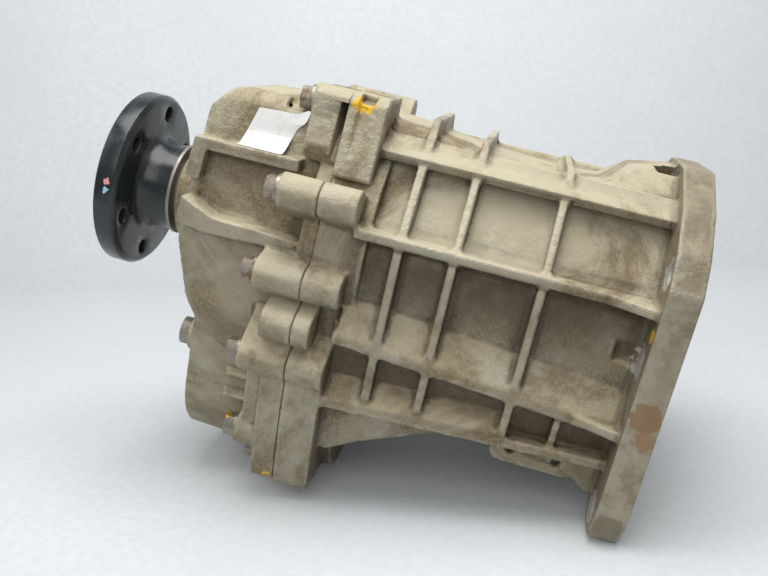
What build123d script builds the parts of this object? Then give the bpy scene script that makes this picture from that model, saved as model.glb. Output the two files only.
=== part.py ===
# Chain-driven transfer case with a clutch on its main shaft, as an assembly.
# Millimetres. X runs along the main shaft, forwards to the gearbox; Z is up. The origin is the
# centre of the gearbox mating face, so every station behind that face has a negative X.
from build123d import *
from math import cos, pi, radians, sin
import os

os.makedirs("parts", exist_ok=True)

# Front housing
plate_thickness = 18.0
tunnel_length = 181.0
bulkhead = 8.0
front_depth = 22.0
wall = 6.5
shoulder_y = 75.0
keel_z = -128.0
rib_thickness = 5.0
rib_height = 11.0
hoop_tops = (88.0, 83.0, 78.0)
flange_radius_y = 80.0
hoop_gaps = (19.0, 31.5, 51.0)
plate_half_width = 100.0
hollow_floor = -77.0
skirt_y = 60.0

# Rear housing
rear_depth = 81.0
rear_wall = 6.0
drum_radius = 64.0
box_top_z = 82.0
boss_radius = 31.3
boss_tip = 9.0
lobe_step = 13.0
lobe_radius = 55.0
lobe_wall = 5.5

# Chain drive
pitch = 9.525
teeth = 29
run_links = 11.5
axis_lean = 2.6
chain_width = 22.0
tooth_height = 3.8
link_height = 3.6

# Main shaft
shaft_radius = 18.0
journal_radius = 17.5
neck_radius = 20.0
thread_radius = 10.0
sleeve_radius = 21.0
input_bore = 14.0
input_depth = 42.0
spline_count = 8
spline_depth = 1.5
spline_width = 2.2

# Companion flange
flange_radius = 58.0
flange_thickness = 14.6
flange_chamfer = 2.8
hub_radius = 28.3
flange_length = 36.0
flange_overhang = 42.4
flange_holes = 6
flange_hole_radius = 5.2
flange_pcd = 92.0

# Bearings and seals
main_bearing_outer = 36.0
main_bearing_width = 17.0
lower_journal = 10.0
lower_rear_outer = 23.5
lower_rear_width = 14.0
lower_front_journal = 15.0
lower_front_outer = 31.0
lower_front_width = 16.0
seal_outer = 26.0
seal_width = 9.0
seal_gap = 3.0
seat_wall = 6.0
lower_seat_wall = 5.0

# Clutch
drum_outer = 50.0
drum_wall = 3.0
plate_outer = 46.7
plate_inner = 32.0
disc_outer = 45.0
disc_inner = 29.3
plate_gauge = 1.6
disc_gauge = 1.8
plate_pairs = 6
stack_gap = 0.1
cam_thickness = 6.0
cam_ball = 4.0
coil_width = 12.0
coil_inner = 26.0
coil_outer = 42.0

# Fasteners
bolt_radius = 4.0
bolt_head = 6.5
bolt_flange = 8.5
bolt_head_height = 8.0
bolt_boss = 10.5
head_room = 16.0
dowel_radius = 5.0
dowel_length = 16.0

# Clearances
running = 0.05
slip = 0.3
bolt_slip = 0.3

# Stations and axes worked out from the sizes above
joint_x = -(tunnel_length + bulkhead + front_depth)
bulkhead_x = -tunnel_length - bulkhead
rear_inner_x = joint_x - rear_depth
rear_outer_x = rear_inner_x - rear_wall
rear_bearing_x = rear_inner_x - 10.0
boss_end_x = rear_bearing_x - 15.6
flange_face_x = boss_end_x - flange_overhang
lobe_rear_x = rear_outer_x + lobe_step
pitch_radius = pitch / 2 / sin(pi / teeth)
wheel_step = 360.0 / teeth
centre_distance = run_links * pitch
lower_y = centre_distance * sin(radians(axis_lean))
lower_z = -centre_distance * cos(radians(axis_lean))
main_axis = (0.0, 0.0)
lower_axis = (lower_y, lower_z)
chain_x = joint_x + front_depth / 2 - chain_width / 2 - 8.0
front_bearing_x = bulkhead_x - 3.0
lower_rear_x = lobe_rear_x + 22.0
lower_front_x = bulkhead_x - 4.0
output_end_x = lower_front_x + lower_front_width + 12.0
front_seal_x = front_bearing_x + main_bearing_width + seal_gap
front_seat_end_x = front_seal_x + seal_width + 1
lower_seat_end_x = lower_front_x + lower_front_width + seal_width + 1

# Bolts of the joint between the housings: place across the shaft, and the boss length behind the joint
case_bolts_at = (
    ((-40.0, 83.0), 25.0),
    ((-84.0, 34.0), 24.0),
    ((-84.0, -16.0), 29.0),
    ((-82.0, -68.0), 30.0),
    ((-62.0, -127.0), 29.0),
    ((-44.0, -147.0), 17.0),
    ((46.0, 80.0), 24.0),
    ((84.0, 34.0), 24.0),
    ((84.0, -16.0), 24.0),
    ((78.0, -68.0), 24.0),
    ((64.0, -134.0), 20.0),
)
front_boss_length = 23.0
gearbox_hole = 5.5
spotface = 10.0
spotface_reach = 14.0
gearbox_holes_at = (
    (-12.0, 83.0),
    (-82.0, 42.0),
    (82.0, 42.0),
    (-82.0, -10.0),
    (82.0, -10.0),
    (-80.0, -104.0),
    (80.0, -104.0),
)
gearbox_dowel = 4.0
gearbox_dowel_depth = 8.0
gearbox_dowels_at = ((-91.0, 0.0), (91.0, 0.0))
dowels_at = ((-86.0, -43.0), (86.0, 8.0))
dowel_lug = 11.0
dowel_lug_rear = 19.0
dowel_lug_front = 11.0
filler_at = (-36.0, -84.0)
drain_at = (24.0, -140.0)
plug_radius = 9.0
plug_thread = 7.0
plug_boss = 11.5

# Outlines across the shaft (Y, Z), near half first; the far half mirrors the near one
tunnel_near = [
    (-12.0, 96.0),
    (-44.0, 67.0),
    (-shoulder_y + 3, 21.0),
    (-shoulder_y, 10.0),
    (-shoulder_y, -52.0),
    (-shoulder_y + 10, keel_z),
]
plate_near = [
    (-26.0, 94.5),
    (-64.0, 75.5),
    (-88.0, 55.0),
    (-plate_half_width, 36.0),
    (-plate_half_width, -96.0),
    (-92.0, -117.0),
    (-72.0, -117.0),
    (-46.0, -100.0),
]
drum_near = [
    (-34.0, box_top_z + 1),
    (-46.0, 74.0),
    (-52.0, 46.0),
    (-58.0, 4.0),
    (-drum_radius - 2, -6.0),
    (-drum_radius - 2, -52.0),
    (-50.0, -88.0),
]
foot_outline = [
    (-80.0, -70.0),
    (-75.0, -100.0),
    (-61.0, -156.0),
    (-8.0, -160.0),
    (-8.0, -110.0),
    (-50.0, -70.0),
]


def mirrored(near):
    """The near half of an outline followed by its mirror image in the far half."""
    return near + [(-y, z) for y, z in reversed(near)]


def outline(points, corner, inset=0.0):
    """A closed outline with rounded corners, pulled in by an even wall."""
    with BuildSketch() as shape:
        with BuildLine():
            Polyline(*points, close=True)
        make_face()
        fillet(shape.vertices(), corner)
        if inset:
            offset(amount=-inset, mode=Mode.REPLACE)
    return shape.sketch


def ring(centre, start, width, inner, outer):
    """A plain ring about an axis along X, from its rear station forwards."""
    with BuildPart() as piece:
        with BuildSketch(Plane.YZ.offset(start)):
            with Locations(centre):
                Circle(outer)
                Circle(inner, mode=Mode.SUBTRACT)
        extrude(amount=width)
    return piece.part


def turned(centre, profile):
    """A solid of revolution about an axis along X from a profile of (X, radius) points."""
    about = Plane(origin=(0, centre[0], centre[1]), x_dir=(1, 0, 0), z_dir=(0, 0, 1))
    with BuildPart() as piece:
        with BuildSketch(about):
            with BuildLine():
                Polyline(*profile, close=True)
            make_face()
        revolve(axis=Axis((0, centre[0], centre[1]), (1, 0, 0)))
    return piece.part


def race(centre, start, width, inner, outer, track_radius, ball):
    """A bearing ring with a groove for the balls on one of its faces."""
    about = Plane(origin=(start + width / 2, centre[0], centre[1]), x_dir=(1, 0, 0), z_dir=(0, 0, 1))
    with BuildPart() as piece:
        with BuildSketch(about):
            with Locations((0, (inner + outer) / 2)):
                Rectangle(width, outer - inner)
            with Locations((0, track_radius)):
                Circle(ball + running, mode=Mode.SUBTRACT)
        revolve(axis=Axis((0, centre[0], centre[1]), (1, 0, 0)))
    return piece.part


def balls(centre, middle, track_radius, ball, count):
    """A ring of loose balls in one plane across the shaft."""
    with BuildPart() as piece:
        with Locations(Plane(origin=(middle, centre[0], centre[1]), x_dir=(0, 1, 0), z_dir=(1, 0, 0))):
            with PolarLocations(track_radius, count):
                Sphere(ball)
    return piece.part


def rollers(centre, start, length, track_radius, roller, count):
    """A ring of loose rollers along the shaft."""
    with BuildPart() as piece:
        with BuildSketch(Plane.YZ.offset(start)):
            with Locations(centre):
                with PolarLocations(track_radius, count):
                    Circle(roller)
        extrude(amount=length)
    return piece.part


def save(piece, name):
    """Write one named piece."""
    piece.label = name
    export_step(piece, f"parts/{name}.step")


def boss_shape(place, radius):
    """A bolt boss with its root, which grows from a point nearer the axis it stands beside."""
    axis = main_axis if place[1] > lower_z * 0.7 else lower_axis
    root = (place[0] + (axis[0] - place[0]) * 0.22, place[1] + (axis[1] - place[1]) * 0.22)
    with BuildSketch() as shape:
        with Locations(place, root):
            Circle(radius)
        make_hull()
    return shape.sketch


# Front housing: a ribbed tunnel to the gearbox, the front half of the chain case and the mating plate
tunnel_side = [
    (joint_x, 84.0),
    (joint_x + 41, 80.0),
    (joint_x + 81, 74.0),
    (-82.0, 71.0),
    (-60.0, 73.0),
    (-45.0, 86.0),
    (-plate_thickness, 92.0),
    (-plate_thickness, -104.0),
    (-42.0, -90.0),
    (-78.0, -85.0),
    (-115.0, -90.0),
    (-161.0, -112.0),
    (bulkhead_x + bulkhead, keel_z + 4),
    (joint_x, keel_z + 2),
]
hoops_at = [bulkhead_x + bulkhead + hoop_gaps[0]]
for gap in hoop_gaps[1:]:
    hoops_at.append(hoops_at[-1] + gap)

with BuildPart() as front_case:
    with BuildSketch(Plane.YZ.offset(joint_x)):
        add(outline(mirrored(tunnel_near), 8.0))
    extrude(amount=-joint_x - plate_thickness)
    with BuildSketch(Plane.XZ):
        add(outline(tunnel_side, 3.0))
    extrude(amount=plate_half_width, both=True, mode=Mode.INTERSECT)

    # hoops round the tunnel, standing proud of it all along its height
    for station, top in zip(hoops_at, hoop_tops):
        with BuildSketch(Plane.YZ.offset(station - rib_thickness / 2)):
            add(outline(mirrored(tunnel_near), 8.0, -rib_height))
            with Locations((0, top + 60)):
                Rectangle(240, 120, mode=Mode.SUBTRACT)
            with Locations((0, -144)):
                Rectangle(240, 120, mode=Mode.SUBTRACT)
        extrude(amount=rib_thickness)

    # long ribs on both flanks: shoulder, waist and sill
    for side in (-1, 1):
        for rear_z, front_z, top, foot, reach in (
            (20.6, 20.6, 3.2, 3.2, rib_height),
            (-44.0, -54.0, 9.0, 3.0, rib_height),
            (-86.0, -76.0, 3.0, 3.0, 8.0),
        ):
            for station, level in ((bulkhead_x, rear_z), (-plate_thickness, front_z)):
                with BuildSketch(Plane.YZ.offset(station)):
                    with BuildLine():
                        Polyline(
                            (side * (shoulder_y - 12), level + top + 4),
                            (side * (shoulder_y - 2), level + top),
                            (side * (shoulder_y + reach), level + 3),
                            (side * (shoulder_y + reach), level - foot),
                            (side * (shoulder_y - 12), level - foot),
                            close=True,
                        )
                    make_face()
            loft(ruled=True)
        # crest along the upper edge
        with BuildSketch(Plane.YZ.offset(bulkhead_x)):
            with Locations(Location((side * 50.5, 68.5), side * -31.0)):
                Rectangle(20, rib_thickness + 1)
        extrude(amount=-bulkhead_x - plate_thickness)

    # gussets where the long ribs run out into the plate
    for side in (-1, 1):
        for level in (20.6, -52.0):
            with BuildSketch(Plane.XY.offset(level - 3)):
                with BuildLine():
                    Polyline(
                        (-plate_thickness - 30, side * (shoulder_y - 4)),
                        (-plate_thickness - 30, side * (shoulder_y + rib_height - 1)),
                        (-plate_thickness, side * (plate_half_width - 3)),
                        (-plate_thickness, side * (shoulder_y - 4)),
                        close=True,
                    )
                make_face()
            extrude(amount=6)

    # front half of the chain case
    with BuildSketch(Plane.YZ.offset(joint_x)):
        Circle(flange_radius_y)
        with Locations(lower_axis):
            Circle(lobe_radius)
        make_hull()
    extrude(amount=front_depth + bulkhead)
    with BuildSketch(Plane.YZ.offset(joint_x)):
        add(outline(foot_outline, 6.0))
    extrude(amount=front_boss_length)

    # top lug with its slot
    with BuildSketch(Plane.YZ.offset(joint_x)):
        with BuildLine():
            Polyline((-72, 46), (-62, 90), (-56, 94), (-18, 94), (-18, 60), (-50, 46), close=True)
        make_face()
    extrude(amount=front_boss_length)
    with BuildSketch(Plane.YZ.offset(joint_x + 6)):
        with Locations((-64, 80)):
            Rectangle(28, 44)
    extrude(amount=9, mode=Mode.SUBTRACT)

    # bosses of the joint bolts and dowels
    with BuildSketch(Plane.YZ.offset(joint_x)):
        for place, length in case_bolts_at:
            add(boss_shape(place, bolt_boss))
    extrude(amount=front_boss_length)
    with BuildSketch(Plane.YZ.offset(joint_x)):
        for place in dowels_at:
            add(boss_shape(place, dowel_lug))
    extrude(amount=dowel_lug_front)

    # pad under the near sill
    with BuildSketch(Plane.XZ.offset(52)):
        with Locations((-57.5, -88.5)):
            RectangleRounded(52, 18, 6)
    extrude(amount=16)

    # mating plate
    with BuildSketch(Plane.YZ.offset(-plate_thickness)):
        add(outline(mirrored(plate_near), 6.0))
    extrude(amount=plate_thickness)

    # seats of the two front bearings and the input seal, inside and outside the bulkhead
    with BuildSketch(Plane.YZ.offset(joint_x + 8)):
        Circle(main_bearing_outer + seat_wall)
    extrude(amount=front_seat_end_x - joint_x - 8)
    with BuildSketch(Plane.YZ.offset(lower_front_x)):
        with Locations(lower_axis):
            Circle(lower_front_outer + lower_seat_wall)
    extrude(amount=lower_seat_end_x - lower_front_x)

    # the tunnel's hollow, open at the gearbox
    with BuildPart(mode=Mode.PRIVATE) as hollow:
        with BuildSketch(Plane.YZ.offset(bulkhead_x + bulkhead)):
            add(outline(mirrored(tunnel_near), 8.0, wall))
        extrude(amount=tunnel_length)
        with BuildSketch(Plane.XZ):
            add(
                outline(
                    [
                        (bulkhead_x + bulkhead, 74.0),
                        (joint_x + 81, 68.0),
                        (-82.0, 64.5),
                        (-62.0, 65.0),
                        (-44.0, 70.0),
                        (0, 70.0),
                        (0, hollow_floor),
                        (bulkhead_x + bulkhead, hollow_floor),
                    ],
                    2.0,
                )
            )
        extrude(amount=plate_half_width, both=True, mode=Mode.INTERSECT)
        with BuildSketch(Plane.YZ.offset(bulkhead_x)):
            Circle(main_bearing_outer + seat_wall)
        extrude(amount=front_seat_end_x - bulkhead_x, mode=Mode.SUBTRACT)
        with BuildSketch(Plane.YZ.offset(bulkhead_x)):
            with Locations(lower_axis):
                Circle(lower_front_outer + lower_seat_wall)
        extrude(amount=40, mode=Mode.SUBTRACT)
    add(hollow.part, mode=Mode.SUBTRACT)

    # passage below the floor for the front propeller shaft, between the skirts and out under the plate
    with BuildPart(mode=Mode.PRIVATE) as passage:
        with BuildSketch(Plane.YZ.offset(bulkhead_x + bulkhead)):
            with Locations((0, hollow_floor - wall)):
                Rectangle(2 * skirt_y, 80, align=(Align.CENTER, Align.MAX))
        extrude(amount=-plate_thickness - bulkhead_x - bulkhead)
        with BuildSketch(Plane.YZ.offset(-plate_thickness)):
            with Locations((0, lower_z)):
                Circle(hollow_floor - wall - lower_z)
        extrude(amount=plate_thickness)
        with BuildSketch(Plane.YZ.offset(bulkhead_x)):
            with Locations(lower_axis):
                Circle(lower_front_outer + lower_seat_wall)
        extrude(amount=lower_seat_end_x - bulkhead_x, mode=Mode.SUBTRACT)
    add(passage.part, mode=Mode.SUBTRACT)

    # the chain's half of the hollow
    with BuildPart(mode=Mode.PRIVATE) as chain_room:
        with BuildSketch(Plane.YZ.offset(joint_x)):
            Circle(drum_radius - 6)
            with Locations(lower_axis):
                Circle(lobe_radius - lobe_wall)
            make_hull()
        extrude(amount=front_depth)
        with BuildSketch(Plane.YZ.offset(front_bearing_x)):
            Circle(main_bearing_outer + seat_wall)
            with Locations(lower_axis):
                Circle(lower_front_outer + lower_seat_wall)
        extrude(amount=20, mode=Mode.SUBTRACT)
    add(chain_room.part, mode=Mode.SUBTRACT)

    # bores of the main shaft's front bearing and seal
    with BuildSketch(Plane.YZ.offset(joint_x)):
        Circle(main_bearing_outer)
    extrude(amount=front_bearing_x + main_bearing_width - joint_x, mode=Mode.SUBTRACT)
    with BuildSketch(Plane.YZ.offset(front_bearing_x)):
        Circle(seal_outer - 3)
    extrude(amount=60, mode=Mode.SUBTRACT)
    with BuildSketch(Plane.YZ.offset(front_seal_x)):
        Circle(seal_outer)
    extrude(amount=60, mode=Mode.SUBTRACT)

    # bores of the front output's bearing and seal
    with BuildSketch(Plane.YZ.offset(joint_x)):
        with Locations(lower_axis):
            Circle(lower_front_outer)
    extrude(amount=lower_front_x + lower_front_width - joint_x, mode=Mode.SUBTRACT)
    with BuildSketch(Plane.YZ.offset(joint_x)):
        with Locations(lower_axis):
            Circle(seal_outer)
    extrude(amount=100, mode=Mode.SUBTRACT)

    # tapped holes of the joint bolts and the dowel holes
    with BuildSketch(Plane.YZ.offset(joint_x)):
        with Locations(*[place for place, length in case_bolts_at]):
            Circle(bolt_radius + running)
    extrude(amount=front_boss_length - 3, mode=Mode.SUBTRACT)
    with BuildSketch(Plane.YZ.offset(joint_x)):
        with Locations(*dowels_at):
            Circle(dowel_radius + running)
    extrude(amount=dowel_length / 2, mode=Mode.SUBTRACT)

    # gearbox bolt holes with spotfaces
    with BuildSketch(Plane.YZ.offset(-plate_thickness)):
        with Locations(*gearbox_holes_at):
            Circle(gearbox_hole)
    extrude(amount=plate_thickness, mode=Mode.SUBTRACT)
    with BuildSketch(Plane.YZ.offset(-plate_thickness - spotface_reach)):
        with Locations(*gearbox_holes_at):
            Circle(spotface)
    extrude(amount=spotface_reach + 1, mode=Mode.SUBTRACT)

    # dowel holes in the mating face
    with BuildSketch(Plane.YZ):
        with Locations(*gearbox_dowels_at):
            Circle(gearbox_dowel)
    extrude(amount=-gearbox_dowel_depth, mode=Mode.SUBTRACT)

    # tapped holes in the pad
    with Locations(Plane.XZ.offset(68)):
        with Locations((-71.5, -88.5), (-43.5, -88.5)):
            Hole(3.0, 12)
save(front_case.part, "front_case")

# Rear housing: the clutch drum with its box, the chain lobe and the rear boss
drum_side = [
    (joint_x, box_top_z + 1),
    (rear_outer_x + 12, box_top_z - 3),
    (rear_outer_x + 1, 66.0),
    (rear_outer_x, 30.0),
    (rear_outer_x, -14.0),
    (rear_outer_x + 10, -48.0),
    (rear_outer_x + 18, -66.0),
    (rear_outer_x + 30, -76.0),
    (rear_outer_x + 50, -88.0),
    (joint_x, -88.0),
]

with BuildPart() as rear_case:
    with BuildSketch(Plane.YZ.offset(rear_outer_x)):
        add(outline(mirrored(drum_near), 8.0))
    extrude(amount=joint_x - rear_outer_x)
    with BuildSketch(Plane.XZ):
        add(outline(drum_side, 5.0))
    extrude(amount=plate_half_width, both=True, mode=Mode.INTERSECT)

    # chain lobe and the web that joins it to the drum
    with BuildSketch(Plane.YZ.offset(lobe_rear_x)):
        Circle(drum_radius - 8)
        with Locations(lower_axis):
            Circle(lobe_radius - 3)
        make_hull()
    extrude(amount=joint_x - lobe_rear_x, taper=-2)

    # flange along the joint
    with BuildSketch(Plane.YZ.offset(joint_x - 10)):
        Circle(flange_radius_y - 2)
        with Locations(lower_axis):
            Circle(lobe_radius)
        make_hull()
    extrude(amount=10)

    # foot block and top lug, the rear halves
    with BuildSketch(Plane.YZ.offset(joint_x - 14)):
        add(outline(foot_outline, 6.0))
    extrude(amount=14)
    with BuildSketch(Plane.YZ.offset(joint_x - 26)):
        with BuildLine():
            Polyline((-79, -72), (-74, -100), (-66, -136), (-42, -136), (-46, -72), close=True)
        make_face()
    extrude(amount=26)
    with BuildSketch(Plane.YZ.offset(joint_x - 21)):
        with BuildLine():
            Polyline((-66, 56), (-60, 90), (-54, 93), (-22, 93), (-22, 60), (-46, 50), close=True)
        make_face()
    extrude(amount=21)
    with BuildSketch(Plane.YZ.offset(joint_x - 19)):
        with Locations((-62, 66)):
            Rectangle(18, 24)
    extrude(amount=12, mode=Mode.SUBTRACT)

    # bolt and dowel bosses
    for place, length in case_bolts_at:
        with BuildSketch(Plane.YZ.offset(joint_x - length)):
            add(boss_shape(place, bolt_boss))
        extrude(amount=length)
    with BuildSketch(Plane.YZ.offset(joint_x - dowel_lug_rear)):
        for place in dowels_at:
            add(boss_shape(place, dowel_lug))
    extrude(amount=dowel_lug_rear)

    # shelf rib with its hook, and the ledge below the panel
    with BuildSketch(Plane.XZ.offset(36)):
        with BuildLine():
            Polyline(
                (joint_x - 22, 41.5),
                (joint_x - 22, 48.5),
                (rear_outer_x, 48.5),
                (rear_outer_x - 3, 24.0),
                (rear_outer_x + 6, 22.0),
                (rear_outer_x + 8, 41.5),
                close=True,
            )
        make_face()
    extrude(amount=27)
    with BuildSketch(Plane.XZ.offset(50)):
        with BuildLine():
            Polyline(
                (joint_x, -3.0),
                (joint_x, 3.5),
                (rear_outer_x + 22, 5.5),
                (rear_outer_x + 2, 14.0),
                (rear_outer_x, -3.0),
                (rear_outer_x + 20, -5.0),
                close=True,
            )
        make_face()
    extrude(amount=25)

    # two short ribs on the lobe
    for level in (-98.0, -113.0):
        with BuildSketch(Plane.XZ.offset(30)):
            with Locations(((lobe_rear_x + joint_x) / 2 + 8, level)):
                Rectangle(34, 3)
        extrude(amount=24)

    # rear boss, flaring into the drum
    add(
        turned(
            main_axis,
            [
                (boss_end_x, 0),
                (boss_end_x, boss_radius),
                (boss_end_x + boss_tip, boss_radius + 1.5),
                (rear_outer_x - 3, 52.0),
                (rear_outer_x + 4, drum_radius - 3),
                (rear_outer_x + 4, 0),
            ],
        )
    )

    # plug bosses on the lobe's rear face
    for place in (filler_at, drain_at):
        with BuildSketch(Plane.YZ.offset(lobe_rear_x - 4)):
            with Locations(place):
                Circle(plug_boss)
        extrude(amount=10)

    # the clutch and chain hollows, with the seats left standing in them
    with BuildPart(mode=Mode.PRIVATE) as clutch_room:
        with BuildSketch(Plane.YZ.offset(rear_inner_x)):
            add(outline(mirrored(drum_near), 8.0, 4.5))
        extrude(amount=rear_depth)
        with BuildSketch(Plane.XZ):
            add(outline(drum_side, 5.0, 4.5))
        extrude(amount=plate_half_width, both=True, mode=Mode.INTERSECT)
        with BuildSketch(Plane.YZ.offset(joint_x - 24)):
            Circle(drum_outer + 2)
            with Locations(lower_axis):
                Circle(lobe_radius - lobe_wall)
            make_hull()
        extrude(amount=24)
        with BuildSketch(Plane.YZ.offset(lobe_rear_x + 6)):
            with Locations(lower_axis):
                Circle(lobe_radius - lobe_wall - 4)
        extrude(amount=joint_x - lobe_rear_x - 6)
        with BuildSketch(Plane.YZ.offset(rear_inner_x)):
            Circle(main_bearing_outer + seat_wall)
        extrude(amount=rear_bearing_x + main_bearing_width - rear_inner_x, mode=Mode.SUBTRACT)
        with BuildSketch(Plane.YZ.offset(lobe_rear_x)):
            with Locations(lower_axis):
                Circle(lower_rear_outer + seat_wall)
        extrude(amount=lower_rear_x + lower_rear_width - lobe_rear_x, mode=Mode.SUBTRACT)
        # the bolt bosses run through the hollow's rim
        with BuildSketch(Plane.YZ.offset(joint_x)):
            with Locations(*[place for place, length in case_bolts_at]):
                Circle(bolt_boss - 1)
        extrude(amount=-40, mode=Mode.SUBTRACT)
        for place in (filler_at, drain_at):
            with BuildSketch(Plane.YZ.offset(lobe_rear_x)):
                with Locations(place):
                    Circle(plug_boss)
            extrude(amount=12, mode=Mode.SUBTRACT)
    add(clutch_room.part, mode=Mode.SUBTRACT)

    # bores of the rear seal and bearings
    with BuildSketch(Plane.YZ.offset(boss_end_x)):
        Circle(seal_outer)
    extrude(amount=seal_width + 2, mode=Mode.SUBTRACT)
    with BuildSketch(Plane.YZ.offset(boss_end_x)):
        Circle(neck_radius + 4)
    extrude(amount=30, mode=Mode.SUBTRACT)
    with BuildSketch(Plane.YZ.offset(rear_bearing_x)):
        Circle(main_bearing_outer)
    extrude(amount=main_bearing_width + 1, mode=Mode.SUBTRACT)
    with BuildSketch(Plane.YZ.offset(lower_rear_x)):
        with Locations(lower_axis):
            Circle(lower_rear_outer)
    extrude(amount=lower_rear_width + 1, mode=Mode.SUBTRACT)

    # holes of the bolts, dowels and plugs, and room for the bolt heads
    with BuildSketch(Plane.YZ.offset(joint_x)):
        with Locations(*[place for place, length in case_bolts_at]):
            Circle(bolt_radius + bolt_slip)
    extrude(amount=-32, mode=Mode.SUBTRACT)
    for place, length in case_bolts_at:
        with BuildSketch(Plane.YZ.offset(joint_x - length)):
            with Locations(place):
                Circle(bolt_flange + 0.7)
        extrude(amount=-head_room, mode=Mode.SUBTRACT)
    with BuildSketch(Plane.YZ.offset(joint_x - dowel_length / 2)):
        with Locations(*dowels_at):
            Circle(dowel_radius + running)
    extrude(amount=dowel_length / 2, mode=Mode.SUBTRACT)
    for place in (filler_at, drain_at):
        with BuildSketch(Plane.YZ.offset(lobe_rear_x - 4)):
            with Locations(place):
                Circle(plug_thread + running)
        extrude(amount=16, mode=Mode.SUBTRACT)
save(rear_case.part, "rear_case")

# Joint bolts: hexagon heads with a flange
with BuildPart() as case_bolts:
    for place, length in case_bolts_at:
        with BuildSketch(Plane.YZ.offset(joint_x - length)):
            with Locations(place):
                Circle(bolt_radius)
        extrude(amount=length + front_boss_length - 6)
        with BuildSketch(Plane.YZ.offset(joint_x - length)):
            with Locations(place):
                Circle(bolt_flange)
        extrude(amount=-2)
        with BuildSketch(Plane.YZ.offset(joint_x - length - 2)):
            with Locations(place):
                RegularPolygon(bolt_head, 6, major_radius=False)
        extrude(amount=-(bolt_head_height - 2))
save(case_bolts.part, "case_bolts")

# Dowels across the joint
with BuildPart() as dowel_pins:
    with BuildSketch(Plane.YZ.offset(joint_x - dowel_length / 2)):
        with Locations(*dowels_at):
            Circle(dowel_radius)
            Circle(dowel_radius - 1.5, mode=Mode.SUBTRACT)
    extrude(amount=dowel_length)
save(dowel_pins.part, "dowel_pins")

# Filler and drain plugs with square drive recesses
for name, place in (("filler_plug", filler_at), ("drain_plug", drain_at)):
    with BuildPart() as plug:
        with BuildSketch(Plane.YZ.offset(lobe_rear_x - 4)):
            with Locations(place):
                Circle(plug_thread)
        extrude(amount=12)
        with BuildSketch(Plane.YZ.offset(lobe_rear_x - 4)):
            with Locations(place):
                Circle(plug_radius)
        extrude(amount=-6)
        with BuildSketch(Plane.YZ.offset(lobe_rear_x - 10)):
            with Locations(place):
                Rectangle(8, 8)
        extrude(amount=5, mode=Mode.SUBTRACT)
    save(plug.part, name)

# Companion flange
flange_rear_x = flange_face_x + flange_thickness
with BuildPart() as output_flange:
    about = Plane(origin=(0, 0, 0), x_dir=(1, 0, 0), z_dir=(0, 0, 1))
    with BuildSketch(about):
        with BuildLine():
            hub_end = flange_face_x + flange_length
            Polyline(
                (flange_face_x, 14.0),
                (flange_face_x, flange_radius - 1),
                (flange_face_x + 1, flange_radius),
                (flange_rear_x - flange_chamfer, flange_radius),
                (flange_rear_x, flange_radius - flange_chamfer),
                (flange_rear_x, hub_radius + 9),
            )
            RadiusArc((flange_rear_x, hub_radius + 9), (flange_rear_x + 9, hub_radius), 9.0)
            Polyline(
                (flange_rear_x + 9, hub_radius),
                (hub_end, hub_radius),
                (hub_end, neck_radius),
                (rear_bearing_x, neck_radius),
                (rear_bearing_x, 15.0 + running),
                (flange_face_x + 18, 15.0 + running),
                (flange_face_x + 18, 14.0 + 5),
                (flange_face_x + 1, 20.0),
                (flange_face_x, 14.0),
            )
        make_face()
    revolve(axis=Axis.X)
    with BuildSketch(Plane.YZ.offset(flange_face_x)):
        with PolarLocations(flange_pcd / 2, flange_holes, start_angle=22):
            Circle(flange_hole_radius)
    extrude(amount=flange_thickness, mode=Mode.SUBTRACT)
save(output_flange.part, "output_flange")

# Main shaft
sleeve_x = front_seal_x + seal_width + 1
sleeve_end_x = sleeve_x + input_depth + 3
shoulder_x = rear_bearing_x + main_bearing_width
with BuildPart() as main_shaft:
    add(
        turned(
            main_axis,
            [
                (flange_face_x + 2, 0),
                (flange_face_x + 2, thread_radius),
                (flange_face_x + 18, thread_radius),
                (flange_face_x + 18, 15.0),
                (rear_bearing_x, 15.0),
                (rear_bearing_x, journal_radius - running),
                (shoulder_x, journal_radius - running),
                (shoulder_x, journal_radius + 4),
                (shoulder_x + 4, journal_radius + 4),
                (shoulder_x + 4, shaft_radius),
                (front_bearing_x, shaft_radius),
                (front_bearing_x, journal_radius - running),
                (front_bearing_x + main_bearing_width, journal_radius - running),
                (front_bearing_x + main_bearing_width, journal_radius - 1),
                (front_bearing_x + main_bearing_width + 1.6, journal_radius - 1),
                (front_bearing_x + main_bearing_width + 1.6, journal_radius - running),
                (sleeve_x, journal_radius - running),
                (sleeve_x, sleeve_radius),
                (sleeve_end_x, sleeve_radius),
                (sleeve_end_x, input_bore),
                (sleeve_end_x - input_depth, input_bore),
                (sleeve_end_x - input_depth, 0),
            ],
        )
    )
    with BuildSketch(Plane.YZ.offset(sleeve_end_x)):
        with PolarLocations(input_bore, spline_count):
            Rectangle(2 * spline_depth, spline_width)
    extrude(amount=-input_depth + 6, mode=Mode.SUBTRACT)
save(main_shaft.part, "main_shaft")

# Flange nut and washer
with BuildPart() as flange_nut:
    with BuildSketch(Plane.YZ.offset(flange_face_x + 16)):
        RegularPolygon(15, 6, major_radius=False)
        Circle(thread_radius + running, mode=Mode.SUBTRACT)
    extrude(amount=-11)
save(flange_nut.part, "flange_nut")
save(ring(main_axis, flange_face_x + 16, 2.0, thread_radius + slip, 18.0), "flange_washer")

# Dust shield on the flange's hub and the seals
shield_x = flange_face_x + flange_length + 0.2
with BuildPart() as dust_shield:
    add(ring(main_axis, shield_x, 2.0, neck_radius + running, boss_radius - 1))
    add(ring(main_axis, shield_x, 4.5, neck_radius + running, neck_radius + 2.5))
save(dust_shield.part, "dust_shield")


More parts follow.
